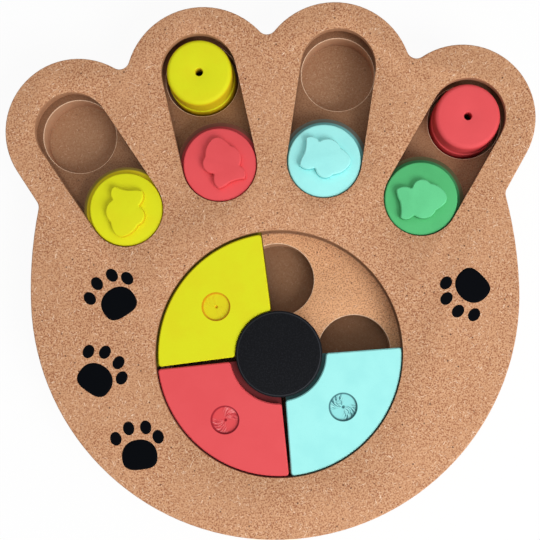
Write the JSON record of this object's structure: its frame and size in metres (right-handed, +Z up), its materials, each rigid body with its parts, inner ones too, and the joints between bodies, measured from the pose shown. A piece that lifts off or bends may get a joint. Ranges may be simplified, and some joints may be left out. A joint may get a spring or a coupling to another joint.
{
  "type": "dog puzzle feeder toy",
  "caption": "Paw-shaped wooden treat puzzle board with captive sliders in slots, lift-off plugs and turning sectors over round treat wells.",
  "frame": {"origin": "middle of the board's outline on its underside", "axes": "+Z up through the board, +Y towards the toes, +X to the right seen from above"},
  "size_m": [0.241, 0.2433, 0.0292],
  "materials": {
    "mdf_raw": "sanded raw fibreboard",
    "paint_yellow": "matt water-based paint on fibreboard",
    "paint_red": "matt water-based paint on fibreboard",
    "paint_blue": "matt water-based paint on fibreboard",
    "paint_green": "matt water-based paint on fibreboard",
    "paint_black": "matt water-based paint on fibreboard",
    "screw_steel": "zinc plated"
  },
  "bodies": {
    "board": {"base_sheet": "mdf_raw", "well_sheet": "mdf_raw", "track_sheet": "mdf_raw", "cover_sheet": "mdf_raw", "hub_post": "mdf_raw", "hub_cap": "paint_black", "hub_screw": "screw_steel"},
    "slider_yellow": {"slider_yellow_flange": "paint_yellow", "slider_yellow_disc": "paint_yellow", "slider_yellow_fish": "paint_yellow"},
    "slider_red": {"slider_red_flange": "paint_red", "slider_red_disc": "paint_red", "slider_red_fish": "paint_red"},
    "slider_blue": {"slider_blue_flange": "paint_blue", "slider_blue_disc": "paint_blue", "slider_blue_fish": "paint_blue"},
    "slider_green": {"slider_green_flange": "paint_green", "slider_green_disc": "paint_green", "slider_green_fish": "paint_green"},
    "plug_yellow": {"plug_yellow": "paint_yellow"},
    "plug_red": {"plug_red": "paint_red"},
    "sector_yellow": {"sector_yellow_flange": "paint_yellow", "sector_yellow_face": "paint_yellow"},
    "sector_red": {"sector_red_flange": "paint_red", "sector_red_face": "paint_red"},
    "sector_blue": {"sector_blue_flange": "paint_blue", "sector_blue_face": "paint_blue"}
  },
  "joints": [
    {"name": "slider_yellow_slide", "type": "slide", "parent": "board", "child": "slider_yellow", "axis": [-0.527, 0.8499, 0], "range_m": [0, 0.0433]},
    {"name": "slider_red_slide", "type": "slide", "parent": "board", "child": "slider_red", "axis": [-0.184, 0.9829, 0], "range_m": [0, 0.0075]},
    {"name": "slider_blue_slide", "type": "slide", "parent": "board", "child": "slider_blue", "axis": [0.184, 0.9829, 0], "range_m": [0, 0.0433]},
    {"name": "slider_green_slide", "type": "slide", "parent": "board", "child": "slider_green", "axis": [0.527, 0.8499, 0], "range_m": [0, 0.0075]},
    {"name": "plug_yellow_lift", "type": "slide", "parent": "board", "child": "plug_yellow", "axis": [0, 0, 1], "range_m": [0, 0.03]},
    {"name": "plug_red_lift", "type": "slide", "parent": "board", "child": "plug_red", "axis": [0, 0, 1], "range_m": [0, 0.03]},
    {"name": "sector_yellow_turn", "type": "hinge", "parent": "board", "child": "sector_yellow", "pos_m": [0, -0.03725, 0.015], "axis": [0, 0, 1], "continuous": true},
    {"name": "sector_red_turn", "type": "hinge", "parent": "sector_yellow", "child": "sector_red", "pos_m": [0, -0.03725, 0.015], "axis": [0, 0, 1], "range_deg": [0, 46.5]},
    {"name": "sector_blue_turn", "type": "hinge", "parent": "sector_red", "child": "sector_blue", "pos_m": [0, -0.03725, 0.015], "axis": [0, 0, 1], "range_deg": [0, 46.5]}
  ]
}
